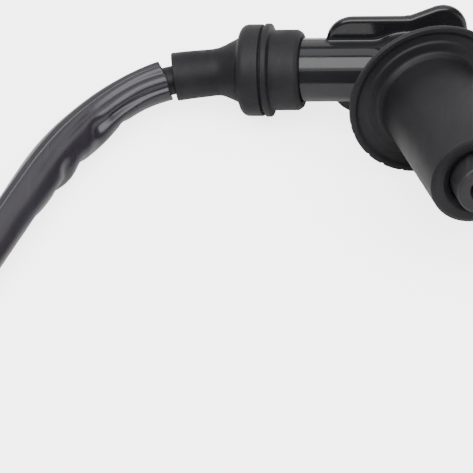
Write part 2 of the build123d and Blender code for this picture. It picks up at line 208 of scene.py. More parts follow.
# %% [markdown]
# Most pieces here are turned shapes. A helper takes an outline of distance, radius and corner rounding,
# rounds its corners with true arcs, and turns it about X. Rounded edges are what makes moulded rubber
# and plastic catch the light.

# %% Turned shapes
def rounded(outline, closed=True):
    """Points along an outline whose corners (x, r, rounding) become arcs."""
    points = []
    count = len(outline)
    for i, (x, r, rounding) in enumerate(outline):
        here = Vector((x, r))
        if rounding == 0 or (not closed and i in (0, count - 1)):
            points.append(here)
            continue
        back = Vector(outline[i - 1][:2]) - here
        forward = Vector(outline[(i + 1) % count][:2]) - here
        angle = back.angle(forward)
        reach = min(rounding / math.tan(angle / 2), 0.49 * back.length, 0.49 * forward.length)
        radius = reach * math.tan(angle / 2)
        bisector = (back.normalized() + forward.normalized()).normalized()
        middle = here + bisector * (radius / math.sin(angle / 2))
        first = here + back.normalized() * reach - middle
        last = here + forward.normalized() * reach - middle
        sweep = first.angle_signed(last)
        steps = max(2, round(abs(sweep) / math.radians(11)))
        for step in range(steps + 1):
            turned = first.copy()
            turned.rotate(Matrix.Rotation(-sweep * step / steps, 2))
            points.append(middle + turned)
    return points


def new_piece(name, vertices, faces, body, replaced=(), smooth=True):
    """A mesh object in the assembly, riding on a body and standing for CAD nodes."""
    mesh = bpy.data.meshes.new(name)
    mesh.from_pydata([tuple(v) for v in vertices], [], faces)
    builder = bmesh.new()
    builder.from_mesh(mesh)
    bmesh.ops.remove_doubles(builder, verts=builder.verts, dist=0.2e-5)
    bmesh.ops.recalc_face_normals(builder, faces=builder.faces)
    builder.to_mesh(mesh)
    builder.free()
    mesh.polygons.foreach_set("use_smooth", [smooth] * len(mesh.polygons))
    piece = bpy.data.objects.new(name, mesh)
    bpy.context.scene.collection.objects.link(piece)
    if body:
        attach(piece, body)
    if replaced:
        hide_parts(*replaced)
    print(name, len(mesh.polygons), "faces")
    return piece


def turned_grid(outline, steps=144):
    """Rings of points of a closed outline turned about X, and the quads between them."""
    angles = np.arange(steps) * 2 * math.pi / steps
    outline = np.array([tuple(p) for p in outline])
    x = np.repeat(outline[:, :1], steps, axis=1)
    y = outline[:, 1:] * np.cos(angles)
    z = outline[:, 1:] * np.sin(angles)
    points = np.stack([x, y, z], -1).reshape(-1, 3)
    faces = []
    for i in range(len(outline)):
        j = (i + 1) % len(outline)
        for k in range(steps):
            m = (k + 1) % steps
            faces.append((i * steps + k, i * steps + m, j * steps + m, j * steps + k))
    return points, faces


def placed(points, matrix):
    turn = np.array(matrix)
    return points @ turn[:3, :3].T + turn[:3, 3]


def densified(points, longest):
    """The same closed outline with no step longer than a length."""
    dense = []
    for i, here in enumerate(points):
        following = points[(i + 1) % len(points)]
        parts = max(1, math.ceil((following - here).length / longest))
        dense += [here.lerp(following, k / parts) for k in range(parts)]
    return dense


# %% [markdown]
# Shapes that are not turned are made as moulders think of them: simple solids that flow together and are
# cut away, always with a fillet. Each solid is a distance function, joining two of them with a rounding
# gives the fillet, and a net of quads is then pulled on to the zero surface.

# %% Moulded shapes
def length_of(*parts):
    return np.sqrt(sum(p * p for p in parts))


def joined(a, b, rounding):
    blend = np.clip(0.5 + 0.5 * (b - a) / rounding, 0, 1)
    return b * (1 - blend) + a * blend - rounding * blend * (1 - blend)


def cut(a, b, rounding):
    return -joined(-a, b, rounding)


def past_both(u, v):
    """How far a point is outside two sides that meet square, with a round edge outside them."""
    return np.minimum(np.maximum(u, v), 0) + length_of(np.maximum(u, 0), np.maximum(v, 0))


def prism(flat, half, rounding):
    """A flat outline's distance given thickness both ways, with rounded rims."""
    return past_both(flat + rounding, half + rounding) - rounding


def rod(p, radius, start, end, rounding=0.3):
    radial = length_of(p[:, 1], p[:, 2]) - radius
    return prism(radial, np.abs(p[:, 0] - (start + end) / 2) - (end - start) / 2, rounding)


def tablet(u, v, half_u, half_v, corner_r):
    """A flat rectangle with round corners."""
    qu = np.abs(u) - half_u + corner_r
    qv = np.abs(v) - half_v + corner_r
    return past_both(qu, qv) - corner_r


def net(distance, low, high, cell):
    """Vertices and quads around the space where distance is negative."""
    low = np.array(low, float)
    counts = np.ceil((np.array(high) - low) / cell).astype(int) + 1
    sides = [low[i] + cell * np.arange(counts[i]) for i in range(3)]
    grid = np.stack(np.meshgrid(*sides, indexing="ij"), -1)
    inside = (distance(grid.reshape(-1, 3)) < 0).reshape(counts)
    filled = np.zeros(counts - 1, int)
    for i, j, k in np.ndindex(2, 2, 2):
        filled += inside[i:counts[0] - 1 + i, j:counts[1] - 1 + j, k:counts[2] - 1 + k]
    mixed = (filled > 0) & (filled < 8)
    index = np.full(counts - 1, -1)
    index[mixed] = np.arange(mixed.sum())
    vertices = low + cell * (np.argwhere(mixed) + 0.5)
    quads = []
    for axis in range(3):
        one, two = [a for a in range(3) if a != axis]
        here = np.moveaxis(inside, (axis, one, two), (0, 1, 2))
        cells = np.moveaxis(index, (axis, one, two), (0, 1, 2))
        crossing = here[:-1, 1:-1, 1:-1] != here[1:, 1:-1, 1:-1]
        i, j, k = np.nonzero(crossing)
        around_edge = [cells[i, j, k], cells[i, j + 1, k], cells[i, j + 1, k + 1], cells[i, j, k + 1]]
        quads.append(np.stack(around_edge, -1))
    return vertices, np.concatenate(quads)


def slope(distance, points, reach=0.02):
    steps = np.eye(3) * reach
    return np.stack([distance(points + s) - distance(points - s) for s in steps], -1) / (2 * reach)


PULL_ROUNDS = 6
SMOOTHED_ROUNDS = 4
FLATTEST_SLOPE = 0.05


def moulded(name, distance, low, high, cell, matrix, body, replaced):
    """A closed skin on the zero surface of a distance function, relaxed so that its quads are even."""
    vertices, quads = net(distance, low, high, cell)
    sides = np.concatenate([quads[:, [i, (i + 1) % 4]] for i in range(4)])
    edges = np.unique(np.sort(sides, axis=1), axis=0)
    degree = np.bincount(edges.ravel(), minlength=len(vertices))[:, None]
    for step in range(PULL_ROUNDS):
        if step < SMOOTHED_ROUNDS:
            total = np.zeros_like(vertices)
            np.add.at(total, edges[:, 0], vertices[edges[:, 1]])
            np.add.at(total, edges[:, 1], vertices[edges[:, 0]])
            vertices = 0.5 * vertices + 0.5 * total / degree
        for _ in range(2):
            gradient = slope(distance, vertices)
            size = np.maximum((gradient ** 2).sum(1), FLATTEST_SLOPE)
            move = gradient * (distance(vertices) / size)[:, None]
            vertices = vertices - np.clip(move, -cell, cell)
    return new_piece(name, placed(vertices, matrix), quads.tolist(), body, replaced)


# %% [markdown]
# ## The elbow
# The cap's body is polished black phenolic: a round arm for the lead, a wider socket behind the flange,
# and a flat grip that bends at the corner so that a thumb can pull the cap off the plug. All of it flows
# together in one moulding, so it is made with the moulded helper. Booleans of plain solids would also
# give these shapes, but without the fillets.

# %% Elbow
ELBOW_R = 7.7
ELBOW_END = -42.0
SOCKET_R = 10.0
SOCKET_END = 12.4
GRIP_THICKNESS = 2.5
GRIP_BEHIND = 2.05
GRIP_HALF_WIDTH = 13.7
GRIP_RIM = 1.0
LOBE_EXTRA = 0.8
LEAD_BORE_END = -28.6
CONTACT_BORE_R = 2.55
SNOUT_BORE_R = 6.65
SNOUT_BORE_START = 2.95


def bent_grip(p, arm_side):
    """A plate along the arm and a lobe behind the plug, a little wider at its end, with a round bend."""
    c, s = math.cos(elbow_turn), math.sin(elbow_turn)
    half = GRIP_THICKNESS / 2
    plate = tablet(arm_side[:, 0] + 6.1, arm_side[:, 2], 14.1, GRIP_HALF_WIDTH, 7.0)
    plate = prism(plate, np.abs(arm_side[:, 1] - GRIP_BEHIND) - half, GRIP_RIM)
    end_width = GRIP_HALF_WIDTH + LOBE_EXTRA * np.clip((p[:, 1] - 2) / 6, 0, 1)
    narrowed = p[:, 2] * (GRIP_HALF_WIDTH / end_width)
    lobe = tablet(p[:, 1] - 3.3, narrowed, 12.0, GRIP_HALF_WIDTH, 6.8)
    lobe = prism(lobe, np.abs(p[:, 0] + GRIP_BEHIND * s) - half, GRIP_RIM)
    arm_part = np.maximum(plate, arm_side[:, 0])
    lobe_part = np.maximum(lobe, -(p[:, 1] - GRIP_BEHIND * c))
    bend = length_of(arm_side[:, 0], arm_side[:, 1] - GRIP_BEHIND) - half
    bend = prism(bend, np.abs(p[:, 2]) - GRIP_HALF_WIDTH, GRIP_RIM)
    return joined(joined(arm_part, lobe_part, 0.5), bend, 0.3)


def elbow(p):
    """The cap's moulding, where p lies along the plug and arm_side is the same place along the lead."""
    c, s = math.cos(elbow_turn), math.sin(elbow_turn)
    arm_side = np.stack([p[:, 0] * c + p[:, 1] * s, p[:, 1] * c - p[:, 0] * s, p[:, 2]], -1)
    shape = rod(arm_side, ELBOW_R, ELBOW_END, 4, 0.5)
    shape = joined(shape, rod(p, SOCKET_R, -4, SOCKET_END, 2.4), 2.0)
    shape = joined(shape, bent_grip(p, arm_side), 1.0)
    shape = cut(shape, rod(arm_side, LEAD_R + 0.1, ELBOW_END - 5, LEAD_BORE_END), 0.3)
    shape = cut(shape, rod(arm_side, CONTACT_BORE_R, -32, 0), 0.2)
    return cut(shape, rod(p, SNOUT_BORE_R, SNOUT_BORE_START, 18), 0.3)


cap = moulded("elbow_body", elbow, (-26, -46, -16), (15, 17, 16), 0.4, ALONG_PLUG, "cap", ["cap_body"])

# %% [markdown]
# ## The boot
# The rubber boot has a wide dished flange that seals the hole of the cooling shroud, then a slightly
# tapered body with a soft rounded mouth. Round parts like this are turned. The mould's parting line
# leaves a ragged flash on the flange's rim.

# %% Boot
RIM_R = 20.0
FLASH_LUMPS = 14
FLASH_DEPTH = 2.4
at = FLANGE_AT
boot_outline = rounded([
    (4.8, 10.05, 0.3), (4.8, 12.2, 0.8), (at - 3.8, 12.2, 2.5), (at - 1.9, 15.0, 2.0), (at - 1.15, 18.9, 0.4),
    (at - 0.75, RIM_R, 0.4), (at + 0.45, RIM_R, 0.45), (at + 0.5, 18.7, 0.8), (at - 0.1, 17.9, 0.9),
    (at - 0.1, 16.1, 0.6), (at + 0.35, 15.7, 0.6), (at + 0.4, 13.2, 1.0), (at + 1.9, 12.4, 1.0),
    (51.1, 11.72, 0.3), (51.55, 10.8, 0.9), (51.4, 8.6, 1.0), (50.3, 7.1, 0.6), (49.5, SNOUT_BORE_R, 0.2),
    (12.5, SNOUT_BORE_R, 0.2), (12.5, 10.05, 0.2),
])
points, faces = turned_grid(densified(boot_outline, 1.5), 180)
around = np.arctan2(points[:, 2], points[:, 1])
radius = length_of(points[:, 1], points[:, 2])
flash = np.array([
    noise.noise((math.cos(a) * FLASH_LUMPS, math.sin(a) * FLASH_LUMPS, 3.0)) for a in around
])
heavy = 0.3 + 0.7 * np.clip(np.cos(around + math.radians(135)), 0, 1)
ragged = heavy * np.clip(flash - 0.36, 0, 0.25) * np.clip((radius - (RIM_R - 0.4)) / 0.3, 0, 1)
points[:, 1:] *= (1 - FLASH_DEPTH * ragged / np.maximum(radius, 1))[:, None]
boot = new_piece("rubber_boot", placed(points, ALONG_PLUG), faces, "boot", ["plug_boot"])

# %% [markdown]
# The snout is the hard tube that stands a little proud in the boot's mouth. It is turned too. Its hole
# leads to the brass socket, which stays as the CAD made it.

# %% Snout
snout_outline = rounded([
    (3.0, 4.6, 0.1), (3.0, 6.6, 0.3), (56.0, 6.6, 0.7), (56.0, 3.4, 0.5), (52.8, 3.4, 0.1), (52.8, 4.6, 0.1),
])
points, faces = turned_grid(densified(snout_outline, 2.0), 96)
snout = new_piece("snout", placed(points, ALONG_PLUG), faces, "cap", ["snout_tube"])

# %% [markdown]
# ## The seal
# A matt rubber seal closes the joint between lead and elbow. Its collar grips the elbow and its sleeve
# grips the lead, so the collar is straight and the sleeve droops with the lead. The turned shape is bent
# by moving each ring of the sleeve most of the way on to the lead's line. Bones or a curve modifier could
# bend it as well, but this keeps the collar exactly round.

# %% Seal
SLEEVE_R = 5.65
LEAD_TIP = -30.0
DROOP_START = -41.0
DROOP_LENGTH = 9.0
DROOP_SHARE = 0.68
seal_outline = rounded([
    (-57.8, 3.55, 0.2), (-57.8, SLEEVE_R + 0.25, 0.35), (-46.5, SLEEVE_R, 6.0), (-41.8, 7.9, 0.9),
    (-40.8, 11.1, 2.1), (-36.0, 11.1, 0.3), (-35.7, 10.4, 0.2), (-35.4, 10.4, 0.2), (-35.2, 11.3, 0.3),
    (-33.9, 11.3, 0.4), (-33.4, 9.75, 0.4), (-27.4, 9.75, 0.7), (-26.1, 8.9, 0.5), (-26.9, 7.75, 0.2),
    (-42.3, 7.75, 0.1), (-42.3, 3.55, 0.1),
])
points, faces = turned_grid(densified(seal_outline, 0.7), 120)
centres, tangents, upward, sideways = on_lead(LEAD_LENGTH - np.maximum(LEAD_TIP - points[:, 0], 0))
straight = placed(points, ALONG_LEAD) / MM
fin = np.array(fin_axis)
up_here = fin - tangents * (tangents @ fin)[:, None]
up_here /= np.linalg.norm(up_here, axis=1)[:, None]
side_here = np.cross(up_here, tangents)
drooped = centres + side_here * points[:, 1:2] + up_here * points[:, 2:3]
share = np.clip((DROOP_START - points[:, 0]) / DROOP_LENGTH, 0, 1)[:, None]
share = DROOP_SHARE * share * share * (3 - 2 * share)
seal_points = (straight * (1 - share) + drooped * share) * MM
seal = new_piece("rubber_seal", seal_points, faces, None, ["lead_seal"])
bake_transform(seal)

# %% [markdown]
# ## The sheath
# Over the lead lies a loose vinyl sleeve. It was packed flat, so it keeps long creases, and where the
# lead bends its inner side has buckled into dents. A cloth simulation could buckle it, but not at chosen
# places. So a tube follows the lead, and its radius changes with the distance from its end and with the
# angle around it. Each crease and dent is one smooth valley, given by its depth, place and width.

# %% Sheath
SHEATH_START = 27.2
SHEATH_END = LEAD_LENGTH - 29.0
ROW_STEP = 0.55
AROUND = 96
WALL = 0.55
WANDER = 0.38
RADIUS_AT_RELIEF = 5.0
ABOVE_FLOOR = 0.03
# Each dent: distance back, angle, depth, half length and half spread, in mm and degrees.
DENTS = [
    (24.0, 68, 1.0, 2.7, 30), (16.0, 122, 0.45, 1.8, 26), (33.5, 122, 0.7, 1.8, 26),
    (39.5, 80, 1.0, 2.1, 20), (43.5, 114, 0.7, 1.8, 26), (29.5, 74, -0.25, 2.4, 20),
    (55.0, 118, 0.5, 3.0, 25), (96.0, 80, 0.9, 3.5, 28), (103.0, 100, 0.6, 3.0, 22),
    (148.0, 70, 0.8, 4.0, 26), (171.0, -60, 0.7, 4.5, 24), (190.0, 60, 0.6, 3.5, 22),
]


def valley(value, middle, width):
    return np.exp(-((value - middle) / width) ** 2)


def sheath_radius(back, angle):
    """The outer radius, back from the end near the cap, with angle 0 on top and 90 inside the bend."""
    slack = 4.5 + 0.75 * valley(back, 40, 26) + 0.25 * np.sin(back / 23.0)
    belly = (1.2 * valley(back, 24.5, 7) + 0.7 * valley(back, 38.5, 4)) * valley(angle, 112, 34)
    long_crease = 0.7 * valley(angle, -24 + 4 * np.sin(back / 17), 7)
    rib = 0.22 * valley(angle, -8 + 5 * np.sin(back / 21), 8)
    fades = np.clip((52 - back) / 26, 0, 1) + 0.45 * valley(back, 120, 40)
    second_crease = 0.55 * valley(angle, 12 + 0.28 * back, 8) * fades
    third_crease = 0.9 * valley(angle, 58 + 0.25 * back, 9) * np.clip((26 - back) / 8, 0, 1)
    keel = 0.3 * valley(angle, 88 - 0.15 * back, 14) * np.clip(back / 30, 0, 1)
    hangs = 0.3 * np.cos(np.radians(angle - 100)) - 0.25 * valley(back, 45, 32) * valley(angle, -62, 40)
    flare = 0.9 * valley(back, 0, 6) * valley(angle, -45, 50)
    shape = slack + hangs + flare + belly - long_crease + rib - second_crease - third_crease + keel
    for dent_at, dent_angle, depth, reach, spread in DENTS:
        middle = dent_at + (angle - dent_angle) * 0.03
        shape = shape - depth * valley(back, middle, reach) * valley(angle, dent_angle, spread)
    return shape


rows = np.arange(SHEATH_START, SHEATH_END, ROW_STEP)
angles = np.arange(AROUND) * 360 / AROUND - 180
along, turn = np.meshgrid(rows, angles, indexing="ij")
slant = 0.5 * np.cos(np.radians(turn - 118)) - 0.5 + 0.25 * np.sin(np.radians(3 * turn))
at_end = np.clip((along - SHEATH_END + 12) / 12, 0, 1)
along = along + slant * at_end
back = SHEATH_END - along
wander = np.array([
    noise.noise((b / 16, math.cos(math.radians(t)) * 0.9, math.sin(math.radians(t)) * 0.9))
    for b, t in zip(back.ravel(), turn.ravel())
]).reshape(back.shape)
outer = sheath_radius(back, turn) + WANDER * wander
near_relief = np.clip((SHEATH_START + 10 - along) / 10, 0, 1)
outer = outer * (1 - near_relief) + RADIUS_AT_RELIEF * near_relief
outer = np.maximum(outer, LEAD_R + WALL + 0.12)
centres, tangents, upward, sideways = on_lead(along.ravel())


def skin_at(radius):
    turned_to = np.radians(turn.ravel())[:, None]
    out = upward * np.cos(turned_to) + sideways * np.sin(turned_to)
    return centres + out * radius.ravel()[:, None]


FLOOR = CAD_BOX[0].z / MM
outside = skin_at(outer)
outside[:, 2] = np.maximum(outside[:, 2], FLOOR + ABOVE_FLOOR)
inside = skin_at(outer - WALL)
inside[:, 2] = np.maximum(inside[:, 2], FLOOR + ABOVE_FLOOR + WALL)
faces = []
total = along.size
for i in range(len(rows) - 1):
    for k in range(AROUND):
        m = (k + 1) % AROUND
        quad = (i * AROUND + k, i * AROUND + m, (i + 1) * AROUND + m, (i + 1) * AROUND + k)
        faces.append(quad)
        faces.append(tuple(total + v for v in reversed(quad)))
for i in (0, len(rows) - 1):
    for k in range(AROUND):
        m = (k + 1) % AROUND
        faces.append((i * AROUND + k, i * AROUND + m, total + i * AROUND + m, total + i * AROUND + k))
sheath = new_piece("vinyl_sheath", np.concatenate([outside, inside]) * MM, faces, "coil", ["lead_sheath"])

# %% [markdown]
# ## The coil
# The windings sit in a moulded case with a tower for the lead and a bench for the two terminals. It is
# open below, where the resin was poured in. It is moulded in the same way as the elbow, with grainy
# glass-filled nylon in place of polished phenolic.

# %% Coil case
TOWER_END = -33.0
TOWER_ROOT_R = 7.8
TOWER_R = 6.4
PIN_BORE_R = 1.3
CASE_TOP = (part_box("coil_case")[1] / MM).z
CORE_LOW, CORE_HIGH = [corner_of / MM for corner_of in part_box("core_laminations")]
CORE_MID = (CORE_LOW.z + CORE_HIGH.z) / 2


def tower_web(x, out, across):
    """A triangle 2 mm thick that leans on the tower's root."""
    face = np.maximum(np.maximum(x + 16, -25.3 - x), (out * 9 - (x + 25) * 13) / math.hypot(9, 13))
    return prism(np.maximum(face, -out), np.abs(across) - 1.0, 0.35)


def case(p):
    """The case with its skirt, terminal bench, tower and webs, hollow below and slotted for the core."""
    x, y, z = p.T
    walls = prism(tablet(x, y, 17.0, 21.0, 5.0), np.abs(z + 2) - (CASE_TOP + 2), 2.5)
    shape = joined(walls, prism(tablet(x, y, 17.8, 21.8, 5.8), np.abs(z + 6.5) - 1.5, 0.5), 0.6)
    shape = np.maximum(shape, FLOOR + 0.2 - z)
    shape = cut(shape, prism(tablet(x, y, 11.0, 14.5, 2.0), np.abs(z - CASE_TOP) - 0.5, 0.2), 0.4)
    shape = joined(shape, prism(tablet(y, z - 10, 12.5, 3.5, 1.0), np.abs(x - 17.1) - 2.5, 0.5), 0.6)
    shape = joined(shape, rod(p, TOWER_ROOT_R, -26.8, -10, 0.5), 0.9)
    shape = joined(shape, rod(p, TOWER_R, TOWER_END, -10, 0.5), 0.2)
    webs = np.minimum(np.minimum(tower_web(x, y, z), tower_web(x, -y, z)), tower_web(x, z, y))
    shape = joined(shape, webs, 0.6)
    shape = cut(shape, prism(tablet(x, y, 15.0, 19.0, 3.0), np.abs(z + 4) - 20, 0.5), 0.4)
    shape = cut(shape, prism(tablet(x, z - CORE_MID, 5.55, 4.05, 0.3), np.abs(y) - 30, 0.2), 0.3)
    shape = cut(shape, rod(p, LEAD_R + 0.1, -40, -22), 0.5)
    return cut(shape, rod(p, PIN_BORE_R, -25, -10), 0.2)


coil_case = moulded("case_shell", case, (-34, -23, -9), (21, 23, 19), 0.45, ALONG_TOWER, "coil",
                    ["coil_case"])

# %% [markdown]
# ## The strain relief
# A ribbed rubber relief is pushed over the tower's spigot and keeps the lead from kinking where it comes
# out. It bends with the lead, so its turned outline is laid along the lead's line.

# %% Relief
RELIEF_END = -49.0
BEADS = 3
BEAD_STEP = 3.5
BEAD_TAPER = 0.45


def relief_outline():
    """A smooth collar, beads that get smaller away from the tower, and the bore."""
    outline = [(-26.9, 6.45, 0.2), (-26.9, 7.9, 0.5), (-35.6, 7.9, 0.8), (-36.4, 6.9, 0.5)]
    for bead in range(BEADS):
        middle = -38.5 - BEAD_STEP * bead
        bead_r = 7.55 - BEAD_TAPER * bead
        outline += [
            (middle + 0.95, bead_r, 0.5), (middle - 0.95, bead_r, 0.5),
            (middle - 1.2, bead_r - 1.1, 0.3), (middle - 2.2, bead_r - 1.2, 0.3),
        ]
    outline = outline[:-1]
    outline += [(RELIEF_END, 5.4, 0.6), (RELIEF_END, 3.6, 0.3), (TOWER_END, 3.6, 0.2), (TOWER_END, 6.45, 0.2)]
    return outline


points, faces = turned_grid(densified(rounded(relief_outline()), 0.8), 96)
centres, tangents, upward, sideways = on_lead(np.maximum(LEAD_ROUTE[0][0] / MM - points[:, 0], 0))
bent = centres + sideways * points[:, 1:2] + upward * points[:, 2:3]
straight = placed(points, ALONG_TOWER) / MM
share = np.clip((TOWER_END - 1 - points[:, 0]) / 6.0, 0, 1)[:, None]
relief_points = (straight * (1 - share) + bent * share) * MM
relief = new_piece("strain_relief", relief_points, faces, "coil", ["tower_relief"])

# %% [markdown]
# ## The core
# The core is a stack of punched steel plates. Plates repeat, so Geometry Nodes make them: one outline
# with its two holes is filled, given the thickness of a plate, and instanced up a line. A small random
# shift leaves the edges as uneven as a real stack.

# %% Lamination tree
PLATES = 16


def lamination_tree(material):
    tree = bpy.data.node_groups.new("lamination_stack", "GeometryNodeTree")
    tree.interface.new_socket("Geometry", in_out="OUTPUT", socket_type="NodeSocketGeometry")
    wanted = [("Width", 0.0109), ("Length", 0.0718), ("Hole spacing", 0.058), ("Hole radius", 0.00395),
              ("Height", 0.008), ("Gap", 0.00006), ("Shift", 0.00006)]
    for name, value in wanted:
        socket = tree.interface.new_socket(name, in_out="INPUT", socket_type="NodeSocketFloat")
        socket.default_value = value
    plates = tree.interface.new_socket("Plates", in_out="INPUT", socket_type="NodeSocketInt")
    plates.default_value = PLATES
    seed = tree.interface.new_socket("Seed", in_out="INPUT", socket_type="NodeSocketInt")
    seed.default_value = 4
    given = tree.nodes.new("NodeGroupInput").outputs
    link = tree.links.new

    def math_node(operation, first, second):
        node = tree.nodes.new("ShaderNodeMath")
        node.operation = operation
        for socket, value in zip(node.inputs, (first, second)):
            if isinstance(value, (int, float)):
                socket.default_value = value
            else:
                link(value, socket)
        return node.outputs[0]

    outline = tree.nodes.new("GeometryNodeCurvePrimitiveQuadrilateral")
    link(given["Width"], outline.inputs["Width"])
    link(given["Length"], outline.inputs["Height"])
    round_ends = tree.nodes.new("GeometryNodeFilletCurve")
    round_ends.mode = "POLY"
    round_ends.inputs["Count"].default_value = 10
    link(outline.outputs["Curve"], round_ends.inputs["Curve"])
    link(math_node("MULTIPLY", given["Width"], 0.495), round_ends.inputs["Radius"])
    shapes = tree.nodes.new("GeometryNodeJoinGeometry")
    link(round_ends.outputs["Curve"], shapes.inputs["Geometry"])
    for side in (-0.5, 0.5):
        hole = tree.nodes.new("GeometryNodeCurvePrimitiveCircle")
        hole.inputs["Resolution"].default_value = 40
        link(given["Hole radius"], hole.inputs["Radius"])
        place = tree.nodes.new("ShaderNodeCombineXYZ")
        link(math_node("MULTIPLY", given["Hole spacing"], side), place.inputs["Y"])
        move = tree.nodes.new("GeometryNodeTransform")
        link(hole.outputs["Curve"], move.inputs["Geometry"])
        link(place.outputs[0], move.inputs["Translation"])
        link(move.outputs["Geometry"], shapes.inputs["Geometry"])
    fill = tree.nodes.new("GeometryNodeFillCurve")
    link(shapes.outputs["Geometry"], fill.inputs["Curve"])
    pitch = math_node("DIVIDE", given["Height"], given["Plates"])
    thickness = math_node("SUBTRACT", pitch, given["Gap"])
    raise_up = tree.nodes.new("GeometryNodeExtrudeMesh")
    raise_up.inputs["Individual"].default_value = False
    link(fill.outputs["Mesh"], raise_up.inputs["Mesh"])
    link(thickness, raise_up.inputs["Offset Scale"])
    under = tree.nodes.new("GeometryNodeFlipFaces")
    link(fill.outputs["Mesh"], under.inputs["Mesh"])
    plate = tree.nodes.new("GeometryNodeJoinGeometry")
    link(raise_up.outputs["Mesh"], plate.inputs["Geometry"])
    link(under.outputs["Mesh"], plate.inputs["Geometry"])
    weld = tree.nodes.new("GeometryNodeMergeByDistance")
    weld.inputs["Distance"].default_value = 1e-6
    link(plate.outputs["Geometry"], weld.inputs["Geometry"])
    stack = tree.nodes.new("GeometryNodeMeshLine")
    link(given["Plates"], stack.inputs["Count"])
    up = tree.nodes.new("ShaderNodeCombineXYZ")
    link(pitch, up.inputs["Z"])
    link(up.outputs[0], stack.inputs["Offset"])
    shift = tree.nodes.new("FunctionNodeRandomValue")
    shift.data_type = "FLOAT_VECTOR"
    shift.inputs["Min"].default_value = (-1, -1, 0)
    shift.inputs["Max"].default_value = (1, 1, 0)
    link(given["Seed"], shift.inputs["Seed"])
    scaled = tree.nodes.new("ShaderNodeVectorMath")
    scaled.operation = "SCALE"
    link(shift.outputs["Value"], scaled.inputs[0])
    link(given["Shift"], scaled.inputs["Scale"])
    nudge = tree.nodes.new("GeometryNodeSetPosition")
    link(stack.outputs["Mesh"], nudge.inputs["Geometry"])
    link(scaled.outputs[0], nudge.inputs["Offset"])
    place_plates = tree.nodes.new("GeometryNodeInstanceOnPoints")
    link(nudge.outputs["Geometry"], place_plates.inputs["Points"])
    link(weld.outputs["Geometry"], place_plates.inputs["Instance"])
    realize = tree.nodes.new("GeometryNodeRealizeInstances")
    link(place_plates.outputs["Instances"], realize.inputs["Geometry"])
    finish = tree.nodes.new("GeometryNodeSetMaterial")
    finish.inputs["Material"].default_value = material
    link(realize.outputs["Geometry"], finish.inputs["Geometry"])
    link(finish.outputs["Geometry"], tree.nodes.new("NodeGroupOutput").inputs["Geometry"])
    return tree


def made_by_nodes(name, tree, values, lift):
    """The plain mesh that a Geometry Nodes tree makes with these input values, raised to its place."""
    maker = bpy.data.objects.new("maker", bpy.data.meshes.new("maker"))
    bpy.context.scene.collection.objects.link(maker)
    modifier = maker.modifiers.new("nodes", "NODES")
    modifier.node_group = tree
    names = {item.name: item.identifier for item in tree.interface.items_tree if item.in_out == "INPUT"}
    for key, value in values.items():
        modifier[names[key]] = value
    bpy.context.view_layer.update()
    mesh = bpy.data.meshes.new_from_object(maker.evaluated_get(bpy.context.evaluated_depsgraph_get()))
    bpy.data.objects.remove(maker)
    mesh.transform(Matrix.Translation((0, 0, lift)))
    piece = bpy.data.objects.new(name, mesh)
    bpy.context.scene.collection.objects.link(piece)
    print(name, len(mesh.polygons), "faces")
    return piece


# %% [markdown]
# Two tubular rivets clamp the plates and line the bolt holes. Each is a turned sleeve whose ends were
# rolled over, so its lips are rounded.

# %% Eyelets
HOLE_SPACING = 58.0
EYELET_TOP = 2 * CORE_MID
BORE_R = 3.2
SHANK_R = 3.9
LIP_R = 5.2
LIP = 0.6
eyelet_outline = rounded([
    (0, BORE_R, 0.5), (0, LIP_R, 0.45), (LIP, LIP_R, 0.1), (LIP, SHANK_R, 0.1),
    (EYELET_TOP - LIP, SHANK_R, 0.1), (EYELET_TOP - LIP, LIP_R, 0.1),
    (EYELET_TOP, LIP_R, 0.45), (EYELET_TOP, BORE_R, 0.5),
])
points, faces = turned_grid(densified(eyelet_outline, 2.0), 72)
upright = points[:, [1, 2, 0]]
both = np.concatenate([upright + (0, side * HOLE_SPACING / 2, 0) for side in (-1, 1)])
both_faces = faces + [tuple(v + len(points) for v in face) for face in faces]
eyelets = new_piece("mounting_eyelets", both * MM, both_faces, "coil", ["core_eyelets"])

# %% [markdown]
# ## Finishes
# Black parts only look different from each other through their gloss, their grain and what has settled
# on them. Four effects are shared as node groups: fine grain, dust, handling smears and fine scratches.
# Each puts out a height or a mask, and each material gives it its own scale.

# %% Shared effects
def group(name, inputs, outputs):
    tree = bpy.data.node_groups.new(name, "ShaderNodeTree")
    for key, value in inputs.items():
        tree.interface.new_socket(key, in_out="INPUT", socket_type="NodeSocketFloat").default_value = value
    for key in outputs:
        tree.interface.new_socket(key, in_out="OUTPUT", socket_type="NodeSocketFloat")
    return tree, tree.nodes.new("NodeGroupInput").outputs, tree.nodes.new("NodeGroupOutput").inputs


def chained(tree, kind, settings=(), **inputs):
    node = tree.nodes.new(kind)
    for key, value in dict(settings).items():
        setattr(node, key, value)
    for key, value in inputs.items():
        socket = node.inputs[int(key[1:])] if key[0] == "_" else node.inputs[key.replace("_", " ")]
        if isinstance(value, bpy.types.NodeSocket):
            tree.links.new(value, socket)
        else:
            socket.default_value = value
    return node


def grain_group():
    """Fine moulded grain as a height, with a broader unevenness under it."""
    tree, given, out = group("grain", {"Per metre": 2000.0, "Broad": 0.4}, ["Height"])
    place = tree.nodes.new("ShaderNodeTexCoord").outputs["Object"]
    fine = chained(tree, "ShaderNodeTexNoise", Vector=place, Scale=given["Per metre"], Detail=4.0,
                   Roughness=0.6)
    slower = chained(tree, "ShaderNodeMath", {"operation": "MULTIPLY"}, _0=given["Per metre"], _1=0.08)
    broad = chained(tree, "ShaderNodeTexNoise", Vector=place, Scale=slower.outputs[0], Detail=2.0)
    both = chained(tree, "ShaderNodeMix", {"data_type": "FLOAT"}, Factor=given["Broad"])
    tree.links.new(fine.outputs["Fac"], both.inputs["A"])
    tree.links.new(broad.outputs["Fac"], both.inputs["B"])
    tree.links.new(both.outputs["Result"], out["Height"])
    return tree


